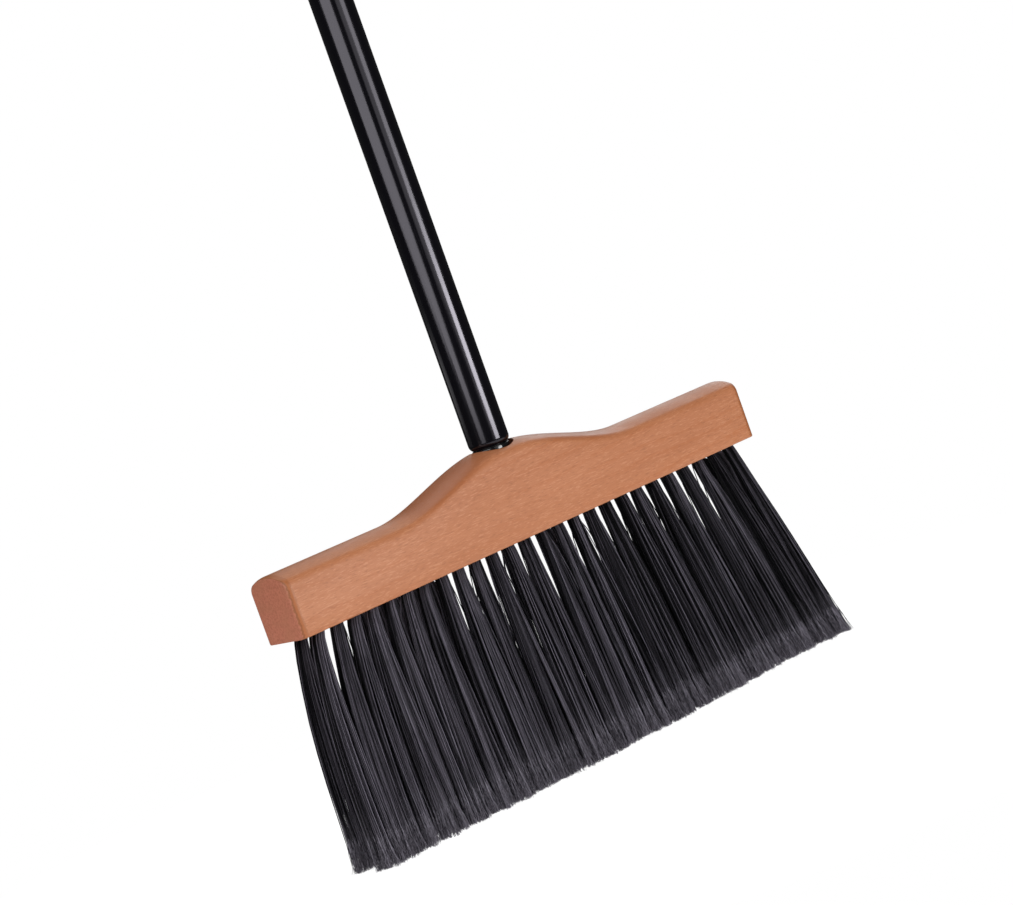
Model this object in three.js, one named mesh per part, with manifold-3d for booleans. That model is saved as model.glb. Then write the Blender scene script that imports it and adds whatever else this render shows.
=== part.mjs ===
// An upright block broom: a lacquered beech block with two rows of bristle tufts, and a steel
// tube handle that screws into it. Millimetres, +Z up the handle, bristle tips on z = 0.
import * as THREE from 'three';
import { mergeVertices } from 'three/addons/utils/BufferGeometryUtils.js';
import Module from 'manifold-3d';

const wasm = await Module();
wasm.setup();

const INCH = 25.4;
const TAU = 2 * Math.PI;
const GAP = 0.3; // between pieces that touch

// Bristles
const TUFTS_PER_ROW = 26;
const TUFT_PITCH = 11.74;
const ROW_OFFSET = 7.9; // each row's distance from the block's centre plane
const BRISTLE_LENGTH = 121; // from the block's underside to the trimmed tips
const HOLE_RADIUS = 3.5;
const HOLE_DEPTH = 14;
const HOLE_SIDES = 12;
const FAN_END = 11 * THREE.MathUtils.DEG2RAD; // sideways lean of the outermost tufts
const ROW_LEAN = 1.5 * THREE.MathUtils.DEG2RAD; // each row leans outwards by this
const TIP_HALF_WIDTH = 6.3;
const TIP_HALF_DEPTH = 8.6;

// Block
const UNDERSIDE = BRISTLE_LENGTH;
const BLOCK_LENGTH = 323;
const BLOCK_THICKNESS = 33.3;
const ARM_HEIGHT = 34.6;
const BOSS_HEIGHT = 50.7;
const SHOULDER_START = 4.5;
const SHOULDER_END = 84;
const CROWN_RADIUS = 30; // across the top
const TOP_EDGE_RADIUS = 4.4;
const TOP_EDGE_FLATNESS = 0.3; // 0 is a true round, 1 a plain bevel
const END_EDGE = 3.2; // rounding of the upright edges at both ends
const END_TOP_EDGE = 1.2;

// Screw joint, 3/4 inch with 5 turns to the inch
const PITCH = INCH / 5;
const MALE_MAJOR = 9.3;
const MALE_MINOR = 7.2;
const FLANK = Math.tan(14.5 * THREE.MathUtils.DEG2RAD);
const CREST_WIDTH = 0.37 * PITCH;
const THREAD_LENGTH = 23.6;
const SOCKET_MOUTH_RADIUS = 12.5;
const SOCKET_MOUTH_DEPTH = 5;
const SOCKET_FLOOR = UNDERSIDE + BOSS_HEIGHT - SOCKET_MOUTH_DEPTH;
const THREAD_TOP = SOCKET_FLOOR - 2.4;
const THREAD_BOTTOM = THREAD_TOP - THREAD_LENGTH;

// Handle
const TUBE_RADIUS = 11.1;
const TUBE_WALL = 0.8;
const SWAGE = 4; // radius of the tube's turned-in lower end
const SWAGED_RADIUS = 9.6;
const NECK_RADIUS = 8.3;
const COLLAR_RADIUS = 10.2;
const COLLAR_HEIGHT = 4.4;
const TUBE_BOTTOM = SOCKET_FLOOR + COLLAR_HEIGHT + GAP;
const HANDLE_LENGTH = 48 * INCH;
const CAP_HEIGHT = 34;
const CAP_SKIRT = 9;
const CAP_RADIUS = 12.2;
const EYE_THICKNESS = 9;
const EYE_RADIUS = 3.8;
const TUBE_TOP = TUBE_BOTTOM + HANDLE_LENGTH - CAP_HEIGHT;

function smoothstep(t) {
  const s = Math.min(Math.max(t, 0), 1);
  return s * s * (3 - 2 * s);
}

function closedGeometry(points, triangles) {
  const geometry = new THREE.BufferGeometry();
  geometry.setAttribute('position', new THREE.Float32BufferAttribute(points.flat(), 3));
  geometry.setIndex(triangles.flat());
  return geometry;
}

// A solid through rings of equal length, each counter-clockwise seen from the last ring's side.
function loft(rings) {
  const count = rings[0].length;
  const points = rings.flat();
  const triangles = [];
  for (let r = 0; r < rings.length - 1; r += 1) {
    for (let i = 0; i < count; i += 1) {
      const a = r * count + i;
      const b = r * count + ((i + 1) % count);
      triangles.push([a, b, b + count], [a, b + count, a + count]);
    }
  }
  const last = (rings.length - 1) * count;
  for (let i = 1; i < count - 1; i += 1) {
    triangles.push([0, i + 1, i], [last, last + i, last + i + 1]);
  }
  return closedGeometry(points, triangles);
}

// A closed outline of [radius, z] points turned about the Z axis. Points on the axis are welded.
function turned(outline, segments) {
  const profile = outline.map(([radius, z]) => new THREE.Vector2(radius, z));
  const geometry = new THREE.LatheGeometry(profile, segments);
  geometry.rotateX(Math.PI / 2);
  return geometry;
}

function toManifold(geometry) {
  const bare = geometry.clone();
  bare.deleteAttribute('normal');
  bare.deleteAttribute('uv');
  const welded = mergeVertices(bare, 1e-4);
  const mesh = new wasm.Mesh({
    numProp: 3,
    vertProperties: Float32Array.from(welded.attributes.position.array),
    triVerts: Uint32Array.from(welded.index.array),
  });
  mesh.merge();
  return new wasm.Manifold(mesh);
}

function toGeometry(manifold) {
  const mesh = manifold.getMesh();
  const geometry = new THREE.BufferGeometry();
  geometry.setAttribute('position', new THREE.BufferAttribute(Float32Array.from(mesh.vertProperties), 3));
  geometry.setIndex(new THREE.BufferAttribute(Uint32Array.from(mesh.triVerts), 1));
  return geometry;
}

// Points of a quarter turn from angle0 to angle1, both ends included.
function arc(cx, cy, radius, angle0, angle1, steps) {
  const points = [];
  for (let i = 0; i <= steps; i += 1) {
    const angle = angle0 + ((angle1 - angle0) * i) / steps;
    points.push([cx + radius * Math.cos(angle), cy + radius * Math.sin(angle)]);
  }
  return points;
}

// ---- Screw thread ----

// A ridge of trapezoid section wound on the Z axis. It fades out over half a turn at each end.
function helixRidge(bottom, top, rootRadius, crestRadius, widen) {
  const stepsPerTurn = 28;
  const turns = (top - bottom) / PITCH;
  const steps = Math.round(turns * stepsPerTurn);
  const sunk = rootRadius - 0.6;
  const rings = [];
  for (let i = 0; i <= steps; i += 1) {
    const turn = (turns * i) / steps;
    const fade = smoothstep(Math.min(turn, turns - turn) / 0.5);
    const crest = THREE.MathUtils.lerp(rootRadius - 0.2, crestRadius, fade);
    const crestHalf = CREST_WIDTH / 2 + widen;
    const rootHalf = crestHalf + (crestRadius - sunk) * FLANK;
    const angle = (TAU * (bottom - THREAD_BOTTOM)) / PITCH + TAU * turn;
    const height = bottom + turn * PITCH;
    const at = (radius, z) => [radius * Math.cos(angle), radius * Math.sin(angle), height + z];
    rings.push([at(sunk, -rootHalf), at(sunk, rootHalf), at(crest, crestHalf), at(crest, -crestHalf)]);
  }
  return loft(rings);
}

function threadedTip() {
  const start = THREAD_BOTTOM - 2.6;
  const plugBottom = TUBE_BOTTOM + SWAGE + 0.8;
  const plugTop = plugBottom + 42;
  const plugRadius = TUBE_RADIUS - TUBE_WALL - GAP;
  const body = turned(
    [
      [0, start],
      [MALE_MINOR - 1.6, start],
      [MALE_MINOR, start + 1.6],
      [MALE_MINOR, THREAD_TOP + 0.6],
      [NECK_RADIUS, THREAD_TOP + 1.7],
      [NECK_RADIUS, plugBottom - 1.3],
      [plugRadius, plugBottom],
      [plugRadius, plugTop - 2],
      [plugRadius - 1.5, plugTop],
      [plugRadius - 3.5, plugTop],
      [plugRadius - 3.5, plugBottom + 6],
      [0, plugBottom + 6],
    ],
    28,
  );
  const ridge = helixRidge(THREAD_BOTTOM, THREAD_TOP, MALE_MINOR, MALE_MAJOR, 0);
  return toGeometry(toManifold(body).add(toManifold(ridge)));
}

function socketCutter() {
  const bottom = THREAD_BOTTOM - 3;
  const minor = MALE_MINOR + 0.35;
  const bore = turned(
    [
      [0, bottom - 2.4],
      [minor, bottom],
      [minor, THREAD_TOP],
      [NECK_RADIUS + 0.5, THREAD_TOP + 1],
      [NECK_RADIUS + 0.5, SOCKET_FLOOR],
      [SOCKET_MOUTH_RADIUS, SOCKET_FLOOR],
      [SOCKET_MOUTH_RADIUS, SOCKET_FLOOR + 12],
      [0, SOCKET_FLOOR + 12],
    ],
    40,
  );
  const groove = helixRidge(
    THREAD_BOTTOM - 0.3 * PITCH,
    SOCKET_FLOOR + 0.7 * PITCH,
    minor,
    MALE_MAJOR + 0.35,
    GAP,
  );
  return toManifold(bore).add(toManifold(groove));
}

// ---- Bristle tufts ----

function tuftMouth(index, side) {
  const x = (index - (TUFTS_PER_ROW - 1) / 2) * TUFT_PITCH;
  return new THREE.Vector3(x, side * ROW_OFFSET, UNDERSIDE);
}

// How far a tuft moves sideways for each millimetre down.
function tuftSlope(index, side) {
  const middle = (TUFTS_PER_ROW - 1) / 2;
  return new THREE.Vector2(((index - middle) / middle) * Math.tan(FAN_END), side * Math.tan(ROW_LEAN));
}

function tuftHole(index, side) {
  const mouth = tuftMouth(index, side);
  const slope = tuftSlope(index, side);
  const rings = [-3, HOLE_DEPTH].map((height) => {
    const ring = [];
    for (let i = 0; i < HOLE_SIDES; i += 1) {
      const angle = (TAU * i) / HOLE_SIDES;
      ring.push([
        mouth.x - slope.x * height + HOLE_RADIUS * Math.cos(angle),
        mouth.y - slope.y * height + HOLE_RADIUS * Math.sin(angle),
        mouth.z + height,
      ]);
    }
    return ring;
  });
  return toManifold(loft(rings));
}

// A bundle packed round in its hole that spreads and turns squarer towards the trimmed tips.
function tuft(index, side) {
  const mouth = tuftMouth(index, side);
  const slope = tuftSlope(index, side);
  const packed = HOLE_RADIUS * Math.cos(Math.PI / HOLE_SIDES) - GAP;
  const drops = [1, 0.75, 0.5, 0.25, 0].map((share) => share * BRISTLE_LENGTH);
  const phase = index * 2.4 + side;
  const rings = [...drops, GAP - HOLE_DEPTH].map((drop) => {
    const spread = (Math.max(drop, 0) / BRISTLE_LENGTH) ** 0.85;
    const halfWidth = THREE.MathUtils.lerp(packed, TIP_HALF_WIDTH, spread);
    const halfDepth = THREE.MathUtils.lerp(packed, TIP_HALF_DEPTH, spread);
    const squareness = THREE.MathUtils.lerp(1, 0.72, spread);
    const ring = [];
    for (let i = 0; i < 10; i += 1) {
      const angle = (TAU * i) / 10;
      const c = Math.cos(angle);
      const s = Math.sin(angle);
      const lobe = 1 - 0.05 * spread * (1 + Math.cos(3 * angle + phase));
      ring.push([
        mouth.x + slope.x * drop + lobe * halfWidth * Math.sign(c) * Math.abs(c) ** squareness,
        mouth.y + slope.y * drop + lobe * halfDepth * Math.sign(s) * Math.abs(s) ** squareness,
        mouth.z - drop,
      ]);
    }
    return ring;
  });
  return loft(rings);
}

// ---- Wood block ----

function topHeight(x) {
  const along = (Math.abs(x) - SHOULDER_START) / (SHOULDER_END - SHOULDER_START);
  return THREE.MathUtils.lerp(BOSS_HEIGHT, ARM_HEIGHT, smoothstep(along));
}

// The block's outline across its length: flat sides, rounded top edges and a crowned top.
function blockSection(x, narrower, lower) {
  const half = BLOCK_THICKNESS / 2 - narrower;
  const top = topHeight(x) - lower;
  const crownEdge = half - TOP_EDGE_RADIUS * 0.55;
  const crownDrop = (y) => CROWN_RADIUS - Math.sqrt(CROWN_RADIUS ** 2 - y * y);
  const edgeAngle = Math.asin(crownEdge / CROWN_RADIUS);
  const centreY = crownEdge - TOP_EDGE_RADIUS * Math.sin(edgeAngle);
  const radius = half - centreY;
  const centreZ = top - crownDrop(crownEdge) - radius * Math.cos(edgeAngle);
  const round = arc(centreY, centreZ, radius, 0, Math.PI / 2 - edgeAngle, 4);
  const nearEdge = round.map((point, i) => {
    const bevel = (axis) => THREE.MathUtils.lerp(round[0][axis], round[4][axis], i / 4);
    return [0, 1].map((axis) => THREE.MathUtils.lerp(point[axis], bevel(axis), TOP_EDGE_FLATNESS));
  });
  const outline = [[half, 0], ...nearEdge];
  for (const share of [0.66, 0.33, 0]) {
    const y = crownEdge * share;
    outline.push([y, top - crownDrop(y)]);
  }
  const mirrored = outline.slice(0, -1).reverse().map(([y, z]) => [-y, z]);
  return [...outline, ...mirrored].map(([y, z]) => [x, y, UNDERSIDE + z]);
}

function woodBlock() {
  const end = BLOCK_LENGTH / 2;
  const half = [];
  for (let i = 0; i <= 11; i += 1) {
    half.push([THREE.MathUtils.lerp(0, SHOULDER_END, i / 11), 0, 0]);
  }
  half.push([(SHOULDER_END + end) / 2, 0, 0]);
  for (const share of [0, 0.5, 0.85, 1]) {
    const inset = 1 - Math.sqrt(1 - share * share);
    half.push([end - END_EDGE * (1 - share), END_EDGE * inset, END_TOP_EDGE * inset]);
  }
  const other = half.slice(1).reverse().map(([x, narrower, lower]) => [-x, narrower, lower]);
  const rings = [...other, ...half].map(([x, narrower, lower]) => blockSection(x, narrower, lower));
  let solid = toManifold(loft(rings)).subtract(socketCutter());
  for (const side of [-1, 1]) {
    for (let index = 0; index < TUFTS_PER_ROW; index += 1) {
      solid = solid.subtract(tuftHole(index, side));
    }
  }
  return toGeometry(solid);
}

// ---- Handle ----

function handleTube() {
  const turnIn = -Math.acos(1 - (TUBE_RADIUS - SWAGED_RADIUS) / SWAGE);
  const centre = [TUBE_RADIUS - SWAGE, TUBE_BOTTOM + SWAGE * Math.sin(-turnIn)];
  const outer = arc(...centre, SWAGE, turnIn, 0, 5);
  const inner = arc(...centre, SWAGE - TUBE_WALL, turnIn, 0, 4);
  const mouth = [TUBE_RADIUS, TUBE_RADIUS - TUBE_WALL].map((radius) => [radius, TUBE_TOP]);
  return turned([...outer, ...mouth, ...inner.reverse(), outer[0]], 44);
}

function collar() {
  const bottom = SOCKET_FLOOR + GAP;
  const top = SOCKET_FLOOR + COLLAR_HEIGHT;
  const bore = NECK_RADIUS + GAP;
  const bevel = 0.9;
  return turned(
    [
      [bore, bottom],
      [COLLAR_RADIUS - bevel, bottom],
      [COLLAR_RADIUS - 0.25, bottom + 0.3],
      [COLLAR_RADIUS, bottom + bevel],
      [COLLAR_RADIUS, top - bevel],
      [COLLAR_RADIUS - 0.25, top - 0.3],
      [COLLAR_RADIUS - bevel, top],
      [bore, top],
      [bore, bottom],
    ],
    40,
  );
}

// A moulded cap: a plug in the tube, a short skirt over its end and a flattened eye to hang it by.
function hangCap() {
  const plugRadius = TUBE_RADIUS - TUBE_WALL - GAP;
  const bore = TUBE_RADIUS + GAP;
  const seat = TUBE_TOP + GAP;
  const top = TUBE_TOP + CAP_HEIGHT;
  const dome = arc(0, top - CAP_RADIUS, CAP_RADIUS, 0, Math.PI / 2, 8);
  dome[dome.length - 1][0] = 0;
  const body = turned(
    [
      [0, TUBE_TOP - 20],
      [plugRadius - 1, TUBE_TOP - 20],
      [plugRadius, TUBE_TOP - 19],
      [plugRadius, seat],
      [bore, seat],
      [bore, TUBE_TOP - CAP_SKIRT],
      [CAP_RADIUS, TUBE_TOP - CAP_SKIRT],
      ...dome,
    ],
    40,
  );
  const shoulder = TUBE_TOP + 8;
  const eyeCentre = top - CAP_RADIUS;
  const slab = new THREE.BoxGeometry(4 * CAP_RADIUS, 2 * CAP_RADIUS, 2 * CAP_HEIGHT);
  let solid = toManifold(body);
  for (const side of [-1, 1]) {
    const cheek = slab.clone();
    cheek.rotateX(side * 0.12);
    cheek.translate(0, side * (EYE_THICKNESS / 2 + CAP_RADIUS + 1.2), shoulder + CAP_HEIGHT);
    solid = solid.subtract(toManifold(cheek));
  }
  const hole = new THREE.CylinderGeometry(EYE_RADIUS, EYE_RADIUS, 4 * CAP_RADIUS, 28);
  hole.translate(0, 0, eyeCentre);
  return toGeometry(solid.subtract(toManifold(hole)));
}

// ---- Assembly ----

const LOOKS = {
  beech: { color: 0xc88a64, roughness: 0.4, metalness: 0 },
  bristle: { color: 0x232127, roughness: 0.6, metalness: 0 },
  enamel: { color: 0x0b0a0d, roughness: 0.15, metalness: 0.2 },
  collar: { color: 0x08080a, roughness: 0.2, metalness: 0.1 },
  tip: { color: 0x141416, roughness: 0.45, metalness: 0 },
  cap: { color: 0x101012, roughness: 0.5, metalness: 0 },
};

const broom = new THREE.Group();
broom.name = 'block_broom';

function addPiece(name, geometry, look) {
  const mesh = new THREE.Mesh(geometry, new THREE.MeshStandardMaterial(LOOKS[look]));
  mesh.name = name;
  mesh.material.name = look;
  broom.add(mesh);
}

addPiece('wood_block', woodBlock(), 'beech');
for (const [row, side] of [['front', -1], ['back', 1]]) {
  for (let index = 0; index < TUFTS_PER_ROW; index += 1) {
    const number = String(index + 1).padStart(2, '0');
    addPiece(`tuft_${row}_${number}`, tuft(index, side), 'bristle');
  }
}
addPiece('collar', collar(), 'collar');
addPiece('threaded_tip', threadedTip(), 'tip');
addPiece('handle_tube', handleTube(), 'enamel');
addPiece('hang_cap', hangCap(), 'cap');

export default broom;
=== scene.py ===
"""An upright block broom: the looks of a lacquered beech block, its bristles and a screw-in steel handle."""

import math

import bpy
import numpy as np
from mathutils import Matrix, Vector


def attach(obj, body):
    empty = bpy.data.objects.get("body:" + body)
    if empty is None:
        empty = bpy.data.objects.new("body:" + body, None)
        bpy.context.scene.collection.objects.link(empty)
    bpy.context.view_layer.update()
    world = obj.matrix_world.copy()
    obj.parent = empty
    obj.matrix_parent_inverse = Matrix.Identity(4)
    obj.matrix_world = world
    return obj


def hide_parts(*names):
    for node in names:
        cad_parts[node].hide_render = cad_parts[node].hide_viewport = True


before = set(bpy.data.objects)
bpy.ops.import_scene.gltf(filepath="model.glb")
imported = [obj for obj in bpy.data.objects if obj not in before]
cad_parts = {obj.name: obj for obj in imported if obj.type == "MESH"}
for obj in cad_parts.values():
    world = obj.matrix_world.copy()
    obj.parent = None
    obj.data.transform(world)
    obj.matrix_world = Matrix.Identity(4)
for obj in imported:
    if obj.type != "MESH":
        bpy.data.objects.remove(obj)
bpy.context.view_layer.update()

MM = 0.001  # shapes below are written in millimetres, and meshes are stored in metres
INCH = 25.4
TAU = 2 * math.pi
GOLDEN_ANGLE = 2.399963
GAP = 0.3  # clearance between neighbouring pieces

# ---- Driving dimensions ----

TUFTS_PER_ROW = 26
ROW_MIDDLE = (TUFTS_PER_ROW - 1) / 2
TUFT_PITCH = 11.74
ROW_OFFSET = 7.9
UNDERSIDE = 121  # the block's, above the level of the tips
HOLE_RADIUS = 3.5
HOLE_DEPTH = 14
HOLE_FAN = math.radians(11)
HOLE_LEAN = math.radians(1.5)

BLOCK_LENGTH = 323
BLOCK_THICKNESS = 33.3
ARM_HEIGHT = 34.6
BOSS_HEIGHT = 50.7
SHOULDER_START = 4.5
SHOULDER_END = 84
CROWN_RADIUS = 30
TOP_EDGE_RADIUS = 4.4
TOP_EDGE_FLATNESS = 0.3  # 0 is a true round, 1 a plain bevel
LOWER_EDGE_RADIUS = 0.8
END_EDGE = 3.2
END_TOP_EDGE = 1.2

PITCH = INCH / 5
MALE_MAJOR = 9.3
MALE_MINOR = 7.2
FLANK = math.tan(math.radians(14.5))
CREST_WIDTH = 0.37 * PITCH
THREAD_PLAY = 0.35
THREAD_LENGTH = 23.6
SOCKET_MOUTH_RADIUS = 12.5
SOCKET_DEPTH = 5
SOCKET_FLOOR = UNDERSIDE + BOSS_HEIGHT - SOCKET_DEPTH
THREAD_TOP = SOCKET_FLOOR - 2.4
THREAD_BOTTOM = THREAD_TOP - THREAD_LENGTH

TUBE_RADIUS = 11.1
TUBE_WALL = 0.8
SWAGE = 4  # the radius that the tube's lower end is turned in with
SWAGED_RADIUS = 9.6
NECK_RADIUS = 8.3
NECK_PLAY = 0.5
PLUG_LENGTH = 42  # inside the tube
PLUG_WALL = 3.5
PLUG_FLOOR = 6
COLLAR_RADIUS = 10.2
COLLAR_HEIGHT = 4.4
TUBE_BOTTOM = SOCKET_FLOOR + COLLAR_HEIGHT + GAP
CAP_HEIGHT = 34
CAP_SKIRT = 9
CAP_PLUG = 20
CAP_RADIUS = 12.2
CHEEK_TILT = 0.12
EYE_THICKNESS = 9
EYE_RADIUS = 3.8
HANDLE_LENGTH = 48 * INCH
TUBE_TOP = TUBE_BOTTOM + HANDLE_LENGTH - CAP_HEIGHT

# Bristles
FILAMENTS = 120  # in each tuft
FILAMENT_RADIUS = 0.29
HAIR_RADIUS = FILAMENT_RADIUS * 0.62
FILAMENT_SIDES = 3
ROOT_DEPTH = 9  # inside the hole
BUNDLE_RADIUS = 3.3
BUNDLE_FLARE = (5.3, 3.2)  # what a bundle's half-width gains on its way down, across and in depth
FLARE_DROP = 58  # over this depth more than half of the flare is reached
# How far tufts of the back row bend aside, by their number in the row, the leftmost being 0
ASKEW = {1: -3.4, 25: 7.4} | dict.fromkeys((3, 4, 5, 6, 7, 14, 24), 5.2)
BRISTLE_FAN = math.radians(12)
CURL_LEFT = 10.8  # how far the fan has bent back by the tips, at the left end of a row
CURL_RIGHT = 5.6
LEFT_BOW = 1.6  # how far the left end bulges outwards on the way
FORWARD_SET = 11  # how far the tips stand in front of their holes
FRONT_LIMIT = -30.2  # no bristle reaches further forwards
TIP_LIMIT = 0.05  # or further down
CLUMPS = 12  # within a tuft
STRANDS = 40  # within a tuft, a few filaments each
STRAND_PULL = 0.45  # how far filaments gather into their strand
CLUMP_PULL = 0.35  # and strands into their clump
WILD_SHARE = 0.06  # of the filaments, that stray sideways
FLAG_LENGTH = 17  # the frayed part at the tips
FLAG_HAIRS = 4  # that each filament splits into
RIGHT_TRIM = 1.8  # how much shorter the bristles are at the right end of a row
SEED = 7

# Camera: its place in metres, its lens and sensor in millimetres
CAMERA_PLACE = (-1.14158, -1.48762, 0.32161)
CAMERA_TURN = math.radians(37.71)
CAMERA_DIP = math.radians(4.77)
CAMERA_ROLL = math.radians(19.66)
CAMERA_LENS = 128.04
SENSOR_WIDTH = 36


def smoothstep(value):
    s = np.clip(value, 0, 1)
    return s * s * (3 - 2 * s)


def lerp(a, b, share):
    return a + (b - a) * share


# ---- Mesh helpers ----


def mesh_object(name, points, faces):
    """An object from points in millimetres and faces of point numbers."""
    mesh = bpy.data.meshes.new(name)
    mesh.from_pydata(np.asarray(points, float) * MM, [], faces)
    mesh.update()
    made = bpy.data.objects.new(name, mesh)
    bpy.context.scene.collection.objects.link(made)
    return made


def smooth(made, sharp_angle=35):
    made.data.shade_smooth()
    made.data.set_sharp_from_angle(angle=math.radians(sharp_angle))


def loft(rings):
    """Points and faces of a closed solid through rings of equal length."""
    count = len(rings[0])
    points = [point for ring in rings for point in ring]
    faces = []
    for r in range(len(rings) - 1):
        for i in range(count):
            a = r * count + i
            b = r * count + (i + 1) % count
            faces.append((a, b, b + count, a + count))
    last = (len(rings) - 1) * count
    faces.append(tuple(reversed(range(count))))
    faces.append(tuple(range(last, last + count)))
    return points, faces


def turned(outline, segments):
    """Points and faces of a closed outline of (radius, z) turned about the Z axis."""
    points = []
    rings = []
    for radius, z in outline:
        if radius == 0:
            rings.append([len(points)] * segments)
            points.append((0, 0, z))
            continue
        rings.append(list(range(len(points), len(points) + segments)))
        for i in range(segments):
            angle = TAU * i / segments
            points.append((radius * math.cos(angle), radius * math.sin(angle), z))
    faces = []
    closed = outline[0][0] != 0
    for r in range(len(rings) if closed else len(rings) - 1):
        low, high = rings[r], rings[(r + 1) % len(rings)]
        for i in range(segments):
            j = (i + 1) % segments
            corners = list(dict.fromkeys((low[i], low[j], high[j], high[i])))
            if len(corners) > 2:
                faces.append(tuple(corners))
    return points, faces


def arc(cx, cy, radius, start, end, steps):
    angles = np.linspace(start, end, steps + 1)
    return [(cx + radius * math.cos(a), cy + radius * math.sin(a)) for a in angles]


def rounded(outline, radius, steps=3):
    """An outline whose corners are cut by small curves. Corners on the axis stay as they are."""
    made = []
    count = len(outline)
    for i, corner in enumerate(outline):
        here = Vector(corner)
        before = Vector(outline[i - 1]) - here
        after = Vector(outline[(i + 1) % count]) - here
        reach = min(radius, before.length * 0.45, after.length * 0.45)
        if corner[0] == 0 or reach < 0.05:
            made.append(corner)
            continue
        enter = here + before.normalized() * reach
        leave = here + after.normalized() * reach
        for k in range(steps + 1):
            t = k / steps
            point = enter * (1 - t) ** 2 + here * 2 * t * (1 - t) + leave * t * t
            made.append(tuple(point))
    return made


def cut(made, *cutters):
    """Takes the cutters out of an object, and removes them."""
    for cutter in cutters:
        change = made.modifiers.new("cut", "BOOLEAN")
        change.operation = "DIFFERENCE"
        change.solver = "EXACT"
        change.object = cutter
    apply_modifiers(made)
    for cutter in cutters:
        bpy.data.objects.remove(cutter)


def apply_modifiers(made):
    graph = bpy.context.evaluated_depsgraph_get()
    result = bpy.data.meshes.new_from_object(made.evaluated_get(graph))
    made.modifiers.clear()
    made.data = result


def finish_piece(made, nodes, body, material):
    made.data.materials.clear()
    made.data.materials.append(material)
    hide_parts(*nodes)
    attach(made, body)


# ---- Materials ----

COOL = (0.93, 0.89, 1.0, 1)  # the faintly violet gloss of the black pieces


class Graph:
    """A material's node tree, with short ways to add the nodes used here."""

    def __init__(self, name):
        self.material = bpy.data.materials.new(name)
        self.material.use_nodes = True
        self.nodes = self.material.node_tree.nodes
        self.links = self.material.node_tree.links
        self.shader = self.nodes["Principled BSDF"]
        coordinates = self.nodes.new("ShaderNodeTexCoord")
        self.place = coordinates.outputs["Object"]
        self.normal = coordinates.outputs["Normal"]

    def put(self, socket, value):
        if isinstance(value, bpy.types.NodeSocket):
            self.links.new(value, socket)
        else:
            socket.default_value = value

    def stretched(self, scale, offset=(0, 0, 0)):
        """The surface's own coordinates, in metres, times a scale for each axis."""
        node = self.nodes.new("ShaderNodeMapping")
        self.put(node.inputs["Vector"], self.place)
        node.inputs["Scale"].default_value = scale
        node.inputs["Location"].default_value = offset
        return node.outputs["Vector"]

    def noise(self, vector, detail=3.0, roughness=0.55):
        node = self.nodes.new("ShaderNodeTexNoise")
        self.put(node.inputs["Vector"], vector)
        node.inputs["Scale"].default_value = 1.0
        node.inputs["Detail"].default_value = detail
        node.inputs["Roughness"].default_value = roughness
        return node.outputs["Fac"]

    def spread(self, value, low, high, to_low=0.0, to_high=1.0):
        """Maps low to high onto to_low to to_high, smoothly."""
        node = self.nodes.new("ShaderNodeMapRange")
        node.interpolation_type = "SMOOTHSTEP"
        self.put(node.inputs["Value"], value)
        node.inputs["From Min"].default_value = low
        node.inputs["From Max"].default_value = high
        node.inputs["To Min"].default_value = to_low
        node.inputs["To Max"].default_value = to_high
        return node.outputs["Result"]

    def maths(self, operation, a, b=0.0):
        node = self.nodes.new("ShaderNodeMath")
        node.operation = operation
        self.put(node.inputs[0], a)
        self.put(node.inputs[1], b)
        return node.outputs["Value"]

    def parts(self, vector):
        node = self.nodes.new("ShaderNodeSeparateXYZ")
        self.put(node.inputs["Vector"], vector)
        return node.outputs["X"], node.outputs["Y"], node.outputs["Z"]

    def blend(self, share, a, b):
        node = self.nodes.new("ShaderNodeMix")
        node.data_type = "RGBA"
        self.put(node.inputs["Factor"], share)
        self.put(node.inputs["A"], a)
        self.put(node.inputs["B"], b)
        return node.outputs["Result"]

    def bump(self, height, strength, distance):
        node = self.nodes.new("ShaderNodeBump")
        self.put(node.inputs["Height"], height)
        node.inputs["Strength"].default_value = strength
        node.inputs["Distance"].default_value = distance
        self.links.new(node.outputs["Normal"], self.shader.inputs["Normal"])

    def attribute(self, name):
        node = self.nodes.new("ShaderNodeAttribute")
        node.attribute_name = name
        return node.outputs["Fac"]

    def set(self, **values):
        for name, value in values.items():
            self.put(self.shader.inputs[name.replace("_", " ")], value)


# Beech, from its planed faces to its ends
BEECH = (0.482, 0.185, 0.082, 1)
DULL_BEECH = (0.43, 0.155, 0.064, 1)
LATE_WOOD = (0.42, 0.13, 0.042, 1)
FIBRE = (0.41, 0.15, 0.062, 1)
FLECK = (0.28, 0.095, 0.04, 1)
GLINT = (0.66, 0.33, 0.19, 1)
SLOPE = (0.33, 0.1, 0.032, 1)
SANDED_EDGE = (0.36, 0.122, 0.042, 1)
EDGE_LINE = (0.3, 0.095, 0.03, 1)
END_GRAIN = (0.46, 0.158, 0.094, 1)
END_PORES = (0.34, 0.106, 0.06, 1)
END_CLOUDS = (0.38, 0.142, 0.076, 1)
END_RIM = (0.23, 0.07, 0.022, 1)
RINGS_PER_METRE = 170
PITH_Y = 0.07  # the middle of the growth rings
PITH_Z = 0.02


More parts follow.
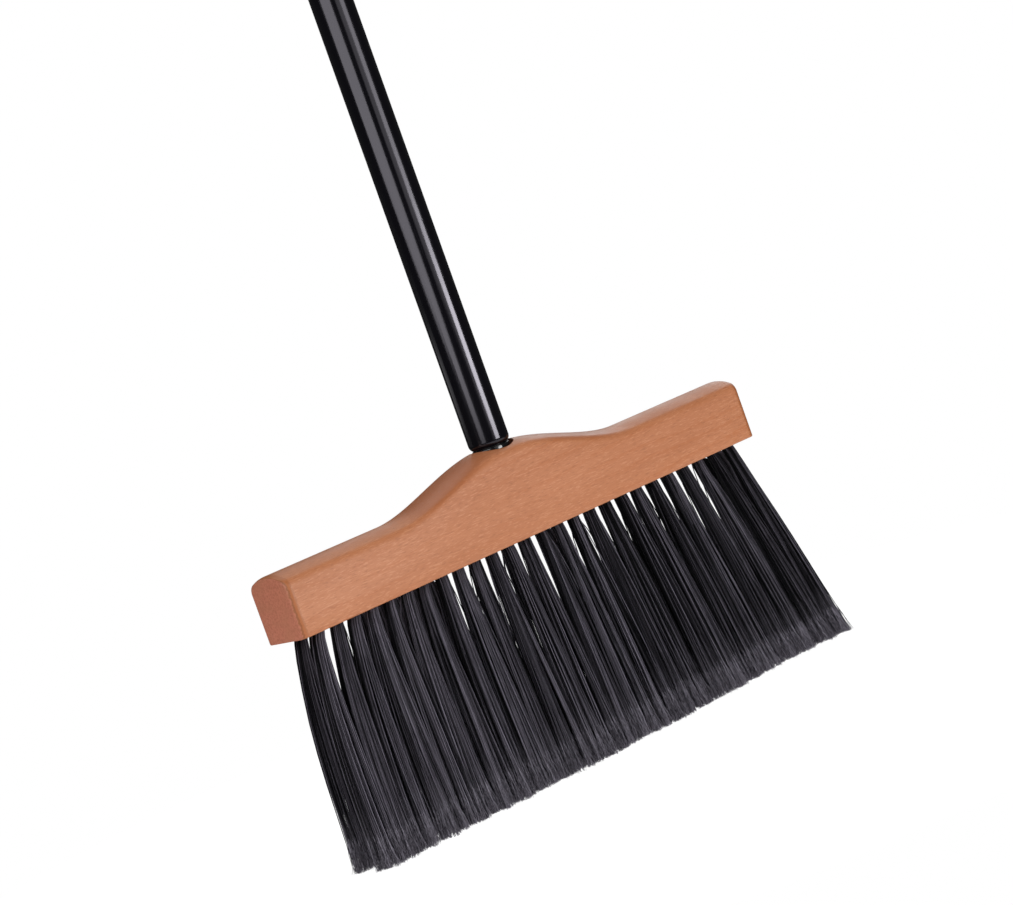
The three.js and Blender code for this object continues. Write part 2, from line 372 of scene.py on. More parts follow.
def late_wood_share(g, y, z):
    """Growth rings: shells about a line along X, behind and below the block."""
    drift = g.noise(g.stretched((8, 24, 24)), detail=2)
    behind = g.maths("POWER", g.maths("ADD", y, -PITH_Y), 2.0)
    below = g.maths("POWER", g.maths("ADD", z, -PITH_Z), 2.0)
    distance = g.maths("SQRT", g.maths("ADD", behind, below))
    wandering = g.maths("ADD", distance, g.maths("MULTIPLY", drift, 0.02))
    rings = g.maths("FRACT", g.maths("MULTIPLY", wandering, RINGS_PER_METRE))
    bands = g.spread(rings, 0.6, 0.97)
    figure = g.noise(g.stretched((7, 26, 26), (4, 2, 7)), detail=2)
    # The top cuts the rings at a slant, so they show wider and darker there
    slanted = g.spread(z, 0.152, 0.168, 0.0, 0.4)
    depth = g.maths("ADD", g.spread(figure, 0.35, 0.6, 0.15, 0.5), slanted)
    return g.maths("MULTIPLY", bands, depth)


def end_grain_colour(g):
    pores = g.spread(g.noise(g.stretched((200, 900, 900)), detail=2), 0.35, 0.75)
    clouds = g.noise(g.stretched((0, 70, 120), (0, 3, 1)), detail=3)
    colour = g.blend(pores, END_GRAIN, END_PORES)
    return g.blend(g.spread(clouds, 0.35, 0.7, 0, 0.5), colour, END_CLOUDS)


def with_worked_ends(g, colour, x):
    """The colour with the block's slopes and ends worked in, and where the end grain is."""
    facing = g.maths("ABSOLUTE", g.parts(g.normal)[0])
    # The upright edges are sanded round. The rounding starts at a faint line,
    # and turns raggedly into end grain
    ragged = g.noise(g.stretched((0, 120, 450)), detail=3, roughness=0.65)
    past_flat = g.maths("ADD", g.maths("ABSOLUTE", x), -(BLOCK_LENGTH / 2 - END_EDGE) * MM)
    sanded = g.maths("ADD", past_flat, g.maths("MULTIPLY", ragged, 0.003))
    edge_line = g.maths("SUBTRACT", g.spread(sanded, 0.0011, 0.0015), g.spread(sanded, 0.0018, 0.0024))
    limit = g.maths("ADD", facing, g.maths("MULTIPLY", ragged, 0.7))
    end_grain = g.spread(limit, 1.14, 1.22)
    rim = g.maths("SUBTRACT", g.spread(limit, 0.88, 1.0), g.spread(limit, 1.1, 1.2))
    # The shoulders' slopes cut the fibres at a slant and are darker too
    colour = g.blend(g.spread(facing, 0.06, 0.24, 0, 0.8), colour, SLOPE)
    colour = g.blend(g.spread(sanded, 0.0015, 0.002, 0, 0.7), colour, SANDED_EDGE)
    colour = g.blend(g.maths("MULTIPLY", edge_line, 0.4), colour, EDGE_LINE)
    colour = g.blend(end_grain, colour, end_grain_colour(g))
    colour = g.blend(g.maths("MULTIPLY", rim, 0.75), colour, END_RIM)
    return colour, end_grain


def beech():
    """Clear-lacquered beech with its grain along X: rings, short dark flecks and darker end grain."""
    g = Graph("beech")
    x, y, z = g.parts(g.place)
    tone = g.noise(g.stretched((10, 55, 55), (3, 1, 2)), detail=3)
    fibre = g.noise(g.stretched((90, 1300, 1300)), detail=3, roughness=0.6)
    speckle = g.noise(g.stretched((280, 1900, 1900), (1, 5, 2)), detail=2, roughness=0.5)
    fleck = g.spread(speckle, 0.56, 0.72)
    glint = g.spread(speckle, 0.46, 0.3)
    colour = g.blend(g.spread(tone, 0.3, 0.7), BEECH, DULL_BEECH)
    colour = g.blend(late_wood_share(g, y, z), colour, LATE_WOOD)
    colour = g.blend(g.spread(fibre, 0.4, 0.75, 0, 0.35), colour, FIBRE)
    colour = g.blend(g.maths("MULTIPLY", fleck, 0.42), colour, FLECK)
    colour = g.blend(g.maths("MULTIPLY", glint, 0.3), colour, GLINT)
    colour, end_grain = with_worked_ends(g, colour, x)
    worn = g.noise(g.stretched((40, 40, 40)), detail=4)
    roughness = g.maths("ADD", g.spread(worn, 0.3, 0.7, 0.38, 0.48), g.maths("MULTIPLY", end_grain, 0.1))
    g.set(Base_Color=colour, Roughness=roughness, Specular_IOR_Level=0.35)
    g.set(Coat_Weight=0.15, Coat_Roughness=0.32)
    height = g.maths("SUBTRACT", g.maths("MULTIPLY", fibre, 0.5), fleck)
    g.bump(height, 0.25, 0.0002)
    return g.material


def enamel():
    """Glossy black enamel on steel, with a faint orange peel and hairline rubs."""
    g = Graph("enamel")
    peel = g.noise(g.stretched((160, 160, 110)), detail=2)
    rubs = g.noise(g.stretched((900, 900, 60)), detail=3)
    rub = g.spread(rubs, 0.66, 0.8)
    cloud = g.noise(g.stretched((30, 30, 12)), detail=3)
    colour = g.blend(g.maths("MULTIPLY", rub, 0.25), (0.0027, 0.0025, 0.0038, 1), (0.02, 0.02, 0.024, 1))
    roughness = g.maths("ADD", g.spread(cloud, 0.3, 0.7, 0.12, 0.16), g.maths("MULTIPLY", rub, 0.05))
    g.set(Base_Color=colour, Roughness=roughness, Specular_IOR_Level=0.5, Specular_Tint=COOL)
    g.bump(peel, 0.12, 0.0001)
    return g.material


def moulded(name, colour, roughness):
    """Black moulded plastic with a fine grain and rubbed patches."""
    g = Graph(name)
    grain = g.noise(g.stretched((1400, 1400, 1400)), detail=2)
    patches = g.noise(g.stretched((70, 70, 70)), detail=4)
    rubbed = g.spread(patches, 0.5, 0.75)
    brighter = tuple(min(c * 1.9, 1) for c in colour)
    shade = g.blend(g.maths("MULTIPLY", rubbed, 0.4), (*colour, 1), (*brighter, 1))
    g.set(Base_Color=shade, Roughness=g.spread(patches, 0.3, 0.75, roughness, roughness * 0.75))
    g.bump(grain, 0.2, 0.00008)
    return g.material


def filament():
    """Black plastic filaments. Each has its own shade, a painted sheen and shade; the frayed tips are
    greyer.
    """
    g = Graph("bristle")
    own = g.attribute("shade")
    frayed = g.attribute("frayed")
    streaks = g.noise(g.stretched((500, 500, 40)), detail=2)
    felt = g.spread(g.noise(g.stretched((900, 900, 620)), detail=3, roughness=0.7), 0.3, 0.7)
    # Each filament's shade is partly its own tone and partly painted sheen: near black up to a violet grey,
    # with dark streaks along it
    dark = g.blend(own, (0.0008, 0.0007, 0.001, 1), (0.168, 0.153, 0.189, 1))
    dark = g.blend(g.spread(streaks, 0.4, 0.7, 0, 0.35), dark, (0.003, 0.0028, 0.0038, 1))
    tangled = g.maths("ADD", g.maths("MULTIPLY", own, 0.55), g.maths("MULTIPLY", felt, 0.45))
    pale = g.blend(tangled, (0.022, 0.02, 0.025, 1), (0.29, 0.27, 0.32, 1))
    colour = g.blend(g.maths("MULTIPLY", frayed, 0.8), dark, pale)
    roughness = g.maths("ADD", g.spread(own, 0.0, 1.0, 0.4, 0.25), g.maths("MULTIPLY", frayed, 0.3))
    g.set(Base_Color=colour, Roughness=roughness, Specular_IOR_Level=0.1, Specular_Tint=COOL)
    g.bump(streaks, 0.1, 0.00005)
    return g.material


# ---- Wood block ----


def top_height(x):
    """The top's height over the underside. It falls from the boss to the arms in an ogee."""
    along = (abs(x) - SHOULDER_START) / (SHOULDER_END - SHOULDER_START)
    return lerp(BOSS_HEIGHT, ARM_HEIGHT, float(smoothstep(along)))


def block_section(x, narrower, lower):
    """The outline across the block's length: rounded lower edges, flat sides and a crowned top."""
    half = BLOCK_THICKNESS / 2 - narrower
    top = top_height(x) - lower
    crown_edge = half - TOP_EDGE_RADIUS * 0.55
    edge_angle = math.asin(crown_edge / CROWN_RADIUS)
    centre_y = crown_edge - TOP_EDGE_RADIUS * math.sin(edge_angle)
    radius = half - centre_y

    def crown(y):
        return top - CROWN_RADIUS + math.sqrt(CROWN_RADIUS**2 - y * y)

    centre_z = crown(crown_edge) - radius * math.cos(edge_angle)
    edge = LOWER_EDGE_RADIUS
    outline = arc(half - edge, edge, edge, -math.pi / 2, 0, 3)
    outline += [(half, lerp(edge, centre_z, share)) for share in (0.33, 0.66)]
    near_edge = arc(centre_y, centre_z, radius, 0, math.pi / 2 - edge_angle, 8)
    bevel = np.linspace(near_edge[0], near_edge[-1], len(near_edge))
    outline += [tuple(lerp(np.array(a), b, TOP_EDGE_FLATNESS)) for a, b in zip(near_edge, bevel)]
    outline += [(crown_edge * share, crown(crown_edge * share)) for share in np.linspace(0.9, 0, 10)]
    mirrored = [(-y, z) for y, z in reversed(outline[:-1])]
    return [(x, y, UNDERSIDE + z) for y, z in outline + mirrored]


def block_mesh():
    end = BLOCK_LENGTH / 2
    half = [(x, 0, 0) for x in np.linspace(0, end - END_EDGE, 80)]
    for share in (0.15, 0.3, 0.45, 0.6, 0.72, 0.82, 0.9, 0.96, 1):
        inset = 1 - math.sqrt(1 - share * share)
        half.append((end - END_EDGE * (1 - share), END_EDGE * inset, END_TOP_EDGE * inset))
    other = [(-x, narrower, lower) for x, narrower, lower in reversed(half[1:])]
    return loft([block_section(*station) for station in other + half])


def hole_cutters():
    """One object holding the 52 leaning tuft holes."""
    points, faces = [], []
    for side in (-1, 1):
        for index in range(TUFTS_PER_ROW):
            x, y = tuft_mouth(index, side)
            slope_x = tuft_place(index) * math.tan(HOLE_FAN)
            slope_y = side * math.tan(HOLE_LEAN)
            rings = []
            for height in (-3, HOLE_DEPTH):
                centre = (x - slope_x * height, y - slope_y * height)
                ring = arc(*centre, HOLE_RADIUS, 0, TAU, 24)[:-1]
                rings.append([(px, py, UNDERSIDE + height) for px, py in ring])
            hole_points, hole_faces = loft(rings)
            faces += [tuple(i + len(points) for i in face) for face in hole_faces]
            points += hole_points
    return mesh_object("hole_cutters", points, faces)


def helix_ridge(bottom, top, root_radius, crest_radius, widen, steps_per_turn=36):
    """A ridge of trapezoid section wound on the Z axis, fading out at both ends."""
    turns = (top - bottom) / PITCH
    steps = round(turns * steps_per_turn)
    sunk = root_radius - 0.6  # the ridge reaches into the core that carries it
    rings = []
    for i in range(steps + 1):
        turn = turns * i / steps
        crest = lerp(root_radius - 0.2, crest_radius, float(smoothstep(min(turn, turns - turn) / 0.5)))
        crest_half = CREST_WIDTH / 2 + widen
        root_half = crest_half + (crest_radius - sunk) * FLANK
        angle = TAU * (bottom - THREAD_BOTTOM) / PITCH + TAU * turn
        height = bottom + turn * PITCH
        section = ((sunk, -root_half), (sunk, root_half), (crest, crest_half), (crest, -crest_half))
        rings.append([(r * math.cos(angle), r * math.sin(angle), height + z) for r, z in section])
    return loft(rings)


def wood_block(material):
    block = mesh_object("beech_block", *block_mesh())
    bottom = THREAD_BOTTOM - 3
    minor = MALE_MINOR + THREAD_PLAY
    neck = NECK_RADIUS + NECK_PLAY
    above_block = SOCKET_FLOOR + SOCKET_DEPTH + 7
    bore = [
        (0, bottom - 2.4),
        (minor, bottom),
        (minor, THREAD_TOP),
        (neck, THREAD_TOP + 1),
        (neck, SOCKET_FLOOR),
        (SOCKET_MOUTH_RADIUS, SOCKET_FLOOR),
        (SOCKET_MOUTH_RADIUS, above_block),
        (0, above_block),
    ]
    socket = mesh_object("socket_cutter", *turned(bore, 64))
    groove_bottom = THREAD_BOTTOM - 0.3 * PITCH
    groove_top = SOCKET_FLOOR + 0.7 * PITCH
    ridge = helix_ridge(groove_bottom, groove_top, minor, MALE_MAJOR + THREAD_PLAY, GAP)
    groove = mesh_object("groove_cutter", *ridge)
    cut(block, hole_cutters(), socket, groove)
    smooth(block, 32)
    finish_piece(block, ["wood_block"], "head", material)


# ---- Bristles ----


def tuft_place(index):
    """A tuft's place along its row, from -1 to 1."""
    return (index - ROW_MIDDLE) / ROW_MIDDLE


def tuft_mouth(index, side):
    return (index - ROW_MIDDLE) * TUFT_PITCH, side * ROW_OFFSET


def strand_mesh(paths, radii):
    """Points and faces of thin rods. paths has a row of points for each rod, and radii their radii."""
    count, length, _ = paths.shape
    along = np.gradient(paths, axis=1)
    along /= np.linalg.norm(along, axis=2, keepdims=True)
    across = np.cross(along, np.array((0.0, 1.0, 0.0)))
    across /= np.linalg.norm(across, axis=2, keepdims=True)
    other = np.cross(along, across)
    angles = TAU * np.arange(FILAMENT_SIDES) / FILAMENT_SIDES
    ring = (
        across[:, :, None, :] * np.cos(angles)[None, None, :, None]
        + other[:, :, None, :] * np.sin(angles)[None, None, :, None]
    )
    points = paths[:, :, None, :] + ring * radii[:, :, None, None]
    first = np.arange(count * length).reshape(count, length)[:, :-1].reshape(-1) * FILAMENT_SIDES
    following = first + FILAMENT_SIDES
    faces = []
    for i in range(FILAMENT_SIDES):
        j = (i + 1) % FILAMENT_SIDES
        faces.append(np.stack([first + i, first + j, following + j, following + i], axis=1))
    return points.reshape(-1, 3), np.concatenate(faces)


def disc_points(count, radius, rng):
    """Evenly packed points in a disc, slightly disturbed."""
    k = np.arange(count) + 0.5
    reach = radius * np.sqrt(k / count)
    angle = k * GOLDEN_ANGLE + rng.uniform(0, TAU)
    points = np.stack([reach * np.cos(angle), reach * np.sin(angle)], axis=1)
    return points + rng.normal(0, 0.06, points.shape)


def nearest(points, centres):
    """The number of the centre nearest to each point."""
    return np.argmin(np.linalg.norm(points[:, None] - centres[None], axis=2), axis=1)


def tuft_course(index, side, drops, rng):
    """How far the middle of a tuft has moved sideways and forwards at each drop below the block."""
    place = tuft_place(index)
    below = np.clip(drops, 0, None)
    t = below / UNDERSIDE
    curl = lerp(CURL_LEFT, CURL_RIGHT, (place + 1) / 2) * place
    own_fan = math.tan(BRISTLE_FAN * place + math.radians(rng.normal(0, 0.6)))
    own_set = FORWARD_SET * (1 + rng.normal(0, 0.06))
    bow = LEFT_BOW * min(place, 0) * np.sin(math.pi * t**0.6)
    askew = rng.normal(0, 0.4) + (side > 0) * ASKEW.get(index, 0)
    aside = askew * (1 - np.exp(-below / 3)) * np.exp(-below / 90)
    sideways = own_fan * drops - curl * t**1.6 + bow + aside
    forwards = side * math.tan(HOLE_LEAN) * drops * 0.5 - own_set * t
    return sideways, forwards


def tuft_paths(index, side, rng):
    """Centre lines of one tuft's filaments, from inside the hole down to where the tips fray.

    With them go each filament's clump and strand, and how near it is to the tuft's flanks, where painted
    shade goes."""
    place = tuft_place(index)
    mouth = np.array(tuft_mouth(index, side))
    base = disc_points(FILAMENTS, BUNDLE_RADIUS, rng)
    strand_centres = disc_points(STRANDS, BUNDLE_RADIUS * 0.95, rng)
    clump_centres = disc_points(CLUMPS, BUNDLE_RADIUS * 0.9, rng)
    strand = nearest(base, strand_centres)
    clump = nearest(strand_centres, clump_centres)[strand]
    # The tufts at the ends of a row keep together better
    calm = 0.5 if abs(place) == 1 else 1.0
    clump_drift = rng.normal(0, (1.1 * calm, 0.8), (CLUMPS, 2))
    strand_drift = rng.normal(0, (0.6 * calm, 0.6), (STRANDS, 2))

    drops = np.array((-ROOT_DEPTH, 0, 4, 12, 26, 42, 58, 74, 90, UNDERSIDE - FLAG_LENGTH))
    below = np.clip(drops, 0, None)
    t = below / UNDERSIDE
    course = tuft_course(index, side, drops, rng)
    # Strands and clumps gather below the block, and come partly apart again at the tips
    gathered = smoothstep(t / 0.25) * (1 - 0.6 * smoothstep((t - 0.75) / 0.25))

    # The leftmost tufts flare sooner
    flare_drop = FLARE_DROP * rng.uniform(0.8, 1.25) * (0.7 if index < 3 else 1)
    paths = np.zeros((FILAMENTS, len(drops), 3))
    for axis, shift in enumerate(course):
        widening = 1 + BUNDLE_FLARE[axis] / BUNDLE_RADIUS * (1 - np.exp(-((below / flare_drop) ** 1.4)))
        to_strand = (strand_centres[strand, axis] - base[:, axis])[:, None]
        to_clump = (clump_centres[clump, axis] - strand_centres[strand, axis])[:, None]
        pull = STRAND_PULL * to_strand + CLUMP_PULL * to_clump
        spread = (base[:, axis, None] + gathered * pull) * widening
        drift = clump_drift[clump, axis, None] * t**1.3 + strand_drift[strand, axis, None] * t**1.2
        stray = np.clip(rng.normal(0, 0.6 * calm, (FILAMENTS, 1)), -1.5, 1.5) * t**1.5
        bend = rng.normal(0, 0.3, (FILAMENTS, 1)) * np.sin(math.pi * t)
        paths[:, :, axis] = mouth[axis] + shift + spread + drift + stray + bend
    wild = rng.random(FILAMENTS) < WILD_SHARE * (abs(place) < 1)
    paths[wild, :, 0] += rng.normal(0, 2.4, (wild.sum(), 1)) * (1 - np.exp(-below / 15))
    paths[:, :, 2] = UNDERSIDE - drops - rng.uniform(-6, 5, (FILAMENTS, 1)) * t**6
    # How near each filament is to the tuft's flanks, where painted shade darkens it later
    flank = smoothstep((np.abs(base[:, 0]) / BUNDLE_RADIUS - 0.5) / 0.5)
    return paths, clump, strand, flank


def frayed_tips(paths, lengths, rng):
    """Fine hairs that each filament splits into at its tip."""
    ends = np.repeat(paths[:, -1], FLAG_HAIRS, axis=0)
    headings = paths[:, -1] - paths[:, -2]
    headings /= -headings[:, 2:3]
    headings = np.repeat(headings, FLAG_HAIRS, axis=0)
    reach = np.repeat(lengths, FLAG_HAIRS) - np.abs(rng.normal(0, 0.4, len(ends)))
    steps = np.linspace(0, 1, 6)
    splay = rng.normal(0, 0.75, (len(ends), 2))
    waves = rng.normal(0, 0.4, (len(ends), len(steps), 2)) * steps[None, :, None] ** 0.7
    hairs = ends[:, None] + headings[:, None] * (steps[None, :, None] * reach[:, None, None])
    hairs[:, :, :2] += splay[:, None] * steps[None, :, None] ** 1.2 + waves
    return hairs


def filament_shades(place, clump, strand, flank, rng):
    """A shade for each filament, and for each hair at the tips.

    Most filaments are nearly black or clearly grey, the grey a painted sheen. Painted shade darkens them at
    a tuft's flanks and the right end."""
    shade = 0.85 * rng.beta(0.35, 0.5, FILAMENTS) + 0.3 * rng.beta(0.5, 0.7, STRANDS)[strand]
    shade += rng.normal(0, 0.12, CLUMPS)[clump]
    # Painted shade: darker at a tuft's flanks, where the tufts shade each other, and towards the right end,
    # where less light is caught
    rod_painted_sheen_and_shade = shade + 0.05 - 0.4 * flank - 0.35 * smoothstep((place + 0.5) / 1.4)
    hair_shade = np.repeat(shade, FLAG_HAIRS) + rng.normal(0, 0.25, FILAMENTS * FLAG_HAIRS)
    return rod_painted_sheen_and_shade, hair_shade


def tuft(index, side, material):
    row = "front" if side < 0 else "back"
    number = f"{index + 1:02d}"
    place = tuft_place(index)
    rng = np.random.default_rng(SEED + 100 * index + (side > 0))
    paths, clump, strand, flank = tuft_paths(index, side, rng)
    trim = rng.uniform(0, 0.6) + rng.uniform(0, 0.7, CLUMPS)[clump] + rng.uniform(0, 0.3, FILAMENTS)
    trim += RIGHT_TRIM * smoothstep(place)
    lengths = paths[:, -1, 2] - trim
    hairs = frayed_tips(paths, lengths, rng)

    rod_radii = np.full(paths.shape[:2], FILAMENT_RADIUS)
    rod_radii[:, -1] *= 0.8
    hair_radii = np.full(hairs.shape[:2], HAIR_RADIUS) * np.linspace(1, 0.6, hairs.shape[1])
    rod_points, rod_faces = strand_mesh(paths, rod_radii)
    hair_points, hair_faces = strand_mesh(hairs, hair_radii)
    points = np.concatenate([rod_points, hair_points])
    points[:, 1] = np.maximum(points[:, 1], FRONT_LIMIT)
    points[:, 2] = np.maximum(points[:, 2], TIP_LIMIT)
    faces = np.concatenate([rod_faces, hair_faces + len(rod_points)])
    made = mesh_object(f"bristles_{row}_{number}", points, faces)

    # The shade attribute: each filament's own tone with painted sheen, and painted shade on the rods
    rod_painted_sheen_and_shade, hair_shade = filament_shades(place, clump, strand, flank, rng)
    per_rod = np.clip(np.repeat(rod_painted_sheen_and_shade, paths.shape[1] * FILAMENT_SIDES), 0, 1)
    per_hair = np.clip(np.repeat(hair_shade, hairs.shape[1] * FILAMENT_SIDES), 0, 1)
    add_attribute(made, "shade", np.concatenate([per_rod, per_hair]))
    rod_fray = smoothstep((12 + FLAG_LENGTH - rod_points[:, 2]) / 12) * 0.5
    hair_fray = np.full(len(hair_points), 1.0)
    add_attribute(made, "frayed", np.concatenate([rod_fray, hair_fray]))
    made.data.shade_smooth()
    finish_piece(made, [f"tuft_{row}_{number}"], "head", material)


def add_attribute(made, name, values):
    attribute = made.data.attributes.new(name, "FLOAT", "POINT")
    attribute.data.foreach_set("value", np.asarray(values, np.float32))


# ---- Handle ----


def handle_tube(material):
    turn_in = -math.acos(1 - (TUBE_RADIUS - SWAGED_RADIUS) / SWAGE)
    centre = (TUBE_RADIUS - SWAGE, TUBE_BOTTOM + SWAGE * math.sin(-turn_in))
    outer = arc(*centre, SWAGE, turn_in, 0, 12)
    inner = arc(*centre, SWAGE - TUBE_WALL, turn_in, 0, 8)
    levels = np.linspace(centre[1], TUBE_TOP, 24)[1:]
    outer += [(TUBE_RADIUS, z) for z in levels]
    inner += [(TUBE_RADIUS - TUBE_WALL, z) for z in levels]
    made = mesh_object("enamelled_tube", *turned(outer + inner[::-1], 96))
    smooth(made)
    finish_piece(made, ["handle_tube"], "handle", material)


def collar(material):
    bottom = SOCKET_FLOOR + GAP
    top = SOCKET_FLOOR + COLLAR_HEIGHT
    bore = NECK_RADIUS + GAP
    outline = [(bore, bottom), (COLLAR_RADIUS, bottom), (COLLAR_RADIUS, top), (bore, top)]
    made = mesh_object("glossy_collar", *turned(rounded(outline, 0.9, 5), 80))
    smooth(made)
    finish_piece(made, ["collar"], "collar", material)


def threaded_tip(material):
    plug_bottom = TUBE_BOTTOM + SWAGE + 0.8
    plug_top = plug_bottom + PLUG_LENGTH
    plug_floor = plug_bottom + PLUG_FLOOR
    plug_radius = TUBE_RADIUS - TUBE_WALL - GAP
    start = THREAD_BOTTOM - 2.6
    outline = [
        (0, start),
        (MALE_MINOR, start),
        (MALE_MINOR, THREAD_TOP + 0.6),
        (NECK_RADIUS, THREAD_TOP + 1.7),
        (NECK_RADIUS, plug_bottom - 1.3),
        (plug_radius, plug_bottom),
        (plug_radius, plug_top),
        (plug_radius - PLUG_WALL, plug_top),
        (plug_radius - PLUG_WALL, plug_floor),
        (0, plug_floor),
    ]
    body_points, body_faces = turned(rounded(outline, 1.2), 56)
    ridge_points, ridge_faces = helix_ridge(THREAD_BOTTOM, THREAD_TOP, MALE_MINOR, MALE_MAJOR, 0, 48)
    faces = body_faces + [tuple(i + len(body_points) for i in face) for face in ridge_faces]
    made = mesh_object("screw_plug", body_points + ridge_points, faces)
    smooth(made)
    finish_piece(made, ["threaded_tip"], "handle", material)


def tilted_box(name, size, place, turn_x):
    """A box in millimetres, turned about X by an angle and then moved into place."""
    half = [s / 2 for s in size]
    corners = [(sx * half[0], sy * half[1]) for sx, sy in ((-1, -1), (1, -1), (1, 1), (-1, 1))]
    points, faces = loft([[(x, y, z) for x, y in corners] for z in (-half[2], half[2])])
    made = mesh_object(name, points, faces)
    made.data.transform(Matrix.Rotation(turn_x, 4, "X"))
    made.data.transform(Matrix.Translation(Vector(place) * MM))
    return made


def hang_cap(material):
    plug_radius = TUBE_RADIUS - TUBE_WALL - GAP
    bore = TUBE_RADIUS + GAP
    seat = TUBE_TOP + GAP
    top = TUBE_TOP + CAP_HEIGHT
    plug_end = TUBE_TOP - CAP_PLUG
    skirt_end = TUBE_TOP - CAP_SKIRT
    eye_centre = top - CAP_RADIUS
    dome = arc(0, eye_centre, CAP_RADIUS, 0, math.pi / 2, 24)
    dome[-1] = (0, top)
    outline = [
        (0, plug_end),
        (plug_radius - 1, plug_end),
        (plug_radius, plug_end + 1),
        (plug_radius, seat),
        (bore, seat),
        (bore, skirt_end),
        (CAP_RADIUS - 0.5, skirt_end),
        (CAP_RADIUS, skirt_end + 0.5),
    ]
    made = mesh_object("eye_cap", *turned(outline + dome, 72))
    cutters = []
    for side in (-1, 1):
        place = (0, side * (EYE_THICKNESS / 2 + CAP_RADIUS + 1.2), TUBE_TOP + 8 + CAP_HEIGHT)
        size = (4 * CAP_RADIUS, 2 * CAP_RADIUS, 2 * CAP_HEIGHT)
        cutters.append(tilted_box(f"cheek_cutter_{side + 1}", size, place, side * CHEEK_TILT))
    ring = arc(0, eye_centre, EYE_RADIUS, 0, TAU, 40)[:-1]
    hole = loft([[(x, y, z) for x, z in ring] for y in (2 * CAP_RADIUS, -2 * CAP_RADIUS)])
    cutters.append(mesh_object("eye_cutter", *hole))
    cut(made, *cutters)
    bevel = made.modifiers.new("edges", "BEVEL")
    bevel.width = 0.6 * MM
    bevel.segments = 3
    bevel.angle_limit = math.radians(35)
    apply_modifiers(made)
    smooth(made)
    finish_piece(made, ["hang_cap"], "handle", material)


# ---- Studio ----


def camera_directions():
    """The camera's forward, right and up directions: from the left, a little above, and rolled."""
    turn_x, turn_y = math.sin(CAMERA_TURN), math.cos(CAMERA_TURN)
    dip_level, dip_down = math.cos(CAMERA_DIP), math.sin(CAMERA_DIP)
    forward = Vector((turn_x * dip_level, turn_y * dip_level, -dip_down))
    level = Vector((turn_y, -turn_x, 0))
    upright = Vector((turn_x * dip_down, turn_y * dip_down, dip_level))
    right = level * math.cos(CAMERA_ROLL) - upright * math.sin(CAMERA_ROLL)
    up = level * math.sin(CAMERA_ROLL) + upright * math.cos(CAMERA_ROLL)
    return forward, right, up


def camera():
    forward, right, up = camera_directions()
    data = bpy.data.cameras.new("camera")
    data.lens = CAMERA_LENS
    data.sensor_width = SENSOR_WIDTH
    data.clip_end = 50
    made = bpy.data.objects.new("camera", data)
    axes = Matrix((right, up, -forward)).transposed().to_4x4()
    made.matrix_world = Matrix.Translation(CAMERA_PLACE) @ axes
    bpy.context.scene.collection.objects.link(made)
    bpy.context.scene.camera = made


def softbox(name, bearing, distance, low, high, width, radiance):
    """An upright soft light that faces the middle. bearing turns from -Y towards -X, in degrees."""
    angle = math.radians(bearing)
    away = Vector((-math.sin(angle), -math.cos(angle), 0))
    data = bpy.data.lights.new(name, "AREA")
    data.shape = "RECTANGLE"
    data.size = width
    data.size_y = high - low
    data.energy = radiance * math.pi * width * (high - low)
    made = bpy.data.objects.new(name, data)
    facing = Matrix((Vector((0, 0, 1)).cross(away), Vector((0, 0, 1)), away)).transposed().to_4x4()
    made.matrix_world = Matrix.Translation(away * distance + Vector((0, 0, (low + high) / 2))) @ facing
    bpy.context.scene.collection.objects.link(made)


def overhead(name, place, size, radiance):
    """A square soft light that looks down at the block."""
    data = bpy.data.lights.new(name, "AREA")
    data.shape = "SQUARE"
    data.size = size
    data.energy = radiance * math.pi * size * size
    made = bpy.data.objects.new(name, data)
    made.location = place
    made.rotation_euler = (Vector((0, 0, 0.15)) - made.location).to_track_quat("-Z", "Y").to_euler()
    bpy.context.scene.collection.objects.link(made)


def studio_floor():
    """A disc bright enough to show as white, as the backdrop does."""
    rim = arc(0, 0, 420, 0, TAU, 96)[:-1]
    made = mesh_object("floor", *loft([[(x, y, z) for x, y in rim] for z in (-6, -0.1)]))
    g = Graph("pale_floor")
    g.set(Base_Color=(0.1, 0.1, 0.1, 1), Roughness=0.9, Specular_IOR_Level=0.0)
    g.set(Emission_Color=(1, 1, 1, 1), Emission_Strength=1.02)
    made.data.materials.append(g.material)


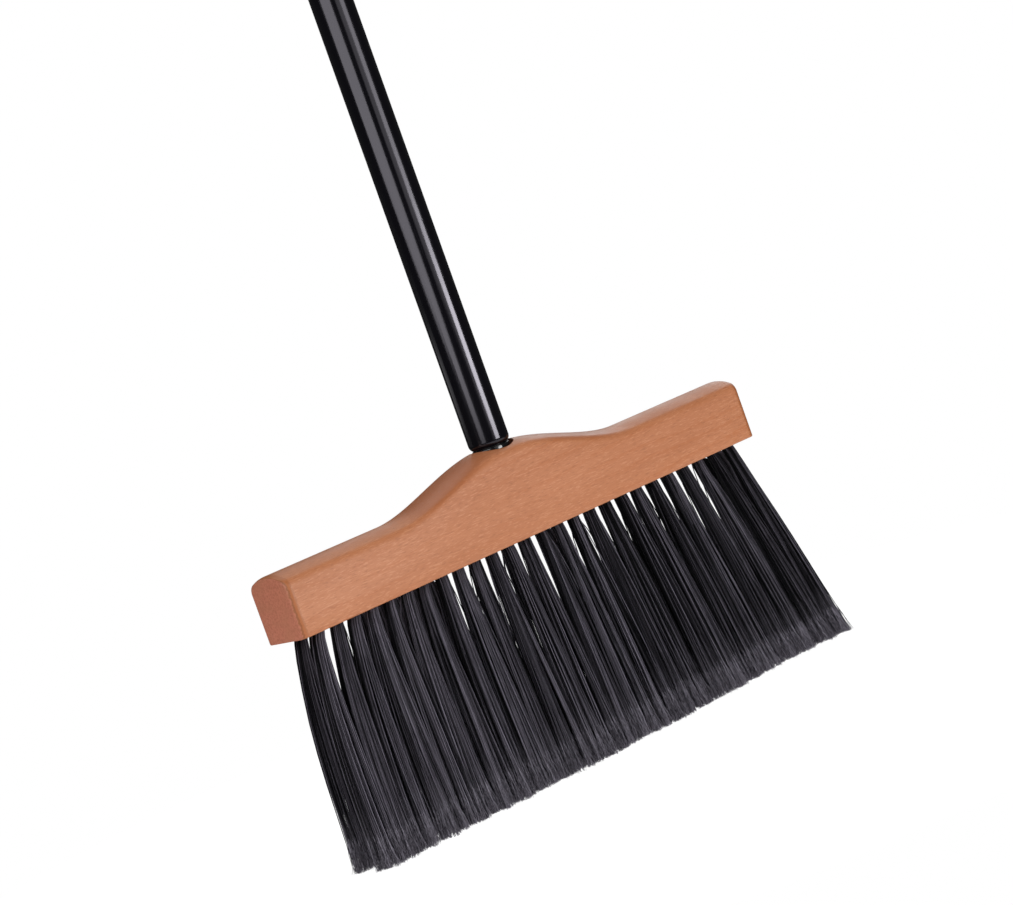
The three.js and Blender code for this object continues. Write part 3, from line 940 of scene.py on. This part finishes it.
def studio_world():
    """White where the camera looks past the object, and dim for the light that reaches it."""
    world = bpy.data.worlds.new("studio")
    world.use_nodes = True
    nodes, links = world.node_tree.nodes, world.node_tree.links
    backdrop = nodes["Background"]
    path = nodes.new("ShaderNodeLightPath")
    level = nodes.new("ShaderNodeMapRange")
    level.inputs["To Min"].default_value = 0.04
    level.inputs["To Max"].default_value = 1.0
    links.new(path.outputs["Is Camera Ray"], level.inputs["Value"])
    links.new(level.outputs["Result"], backdrop.inputs["Strength"])
    backdrop.inputs["Color"].default_value = (1, 1, 1, 1)
    bpy.context.scene.world = world


def studio():
    """Distances and heights are in metres here."""
    softbox("left_softbox", bearing=70.5, distance=1.6, low=0.24, high=1.4, width=1.6, radiance=3.3)
    softbox("left_softbox_middle", bearing=68.5, distance=1.6, low=0.15, high=0.24, width=1.25, radiance=3.3)
    softbox("left_softbox_low", bearing=64.2, distance=1.6, low=0.0, high=0.15, width=0.68, radiance=3.3)
    softbox("right_softbox", bearing=-17.5, distance=1.6, low=0.24, high=1.4, width=0.66, radiance=3.7)
    softbox("right_softbox_low", bearing=-17.5, distance=3.2, low=-0.22, high=0.2, width=1.32, radiance=16.0)
    softbox("front_fill", bearing=6, distance=1.6, low=0.2, high=1.4, width=0.65, radiance=1.1)
    softbox("front_fill_low", bearing=1, distance=1.6, low=0.0, high=0.2, width=0.37, radiance=1.0)
    softbox("back_left", bearing=154, distance=2.2, low=0.8, high=1.8, width=1.2, radiance=1.1)
    softbox("back_left_low", bearing=154, distance=2.2, low=0.0, high=0.12, width=1.2, radiance=0.6)
    softbox("back_right", bearing=250, distance=2.2, low=0.8, high=2.6, width=1.2, radiance=1.5)
    softbox("back_middle", bearing=229, distance=2.0, low=0.54, high=1.4, width=1.0, radiance=1.5)
    overhead("top_softbox", place=(0.1, 0.5, 2.2), size=2.0, radiance=1.4)
    studio_floor()
    studio_world()
    bpy.context.scene.view_settings.view_transform = "Standard"


def build():
    wood_block(beech())
    bristle = filament()
    for side in (-1, 1):
        for index in range(TUFTS_PER_ROW):
            tuft(index, side, bristle)
    collar(moulded("collar", (0.006, 0.006, 0.007), 0.16))
    threaded_tip(moulded("tip", (0.012, 0.012, 0.013), 0.45))
    handle_tube(enamel())
    hang_cap(moulded("cap", (0.009, 0.009, 0.010), 0.45))


build()
studio()
camera()
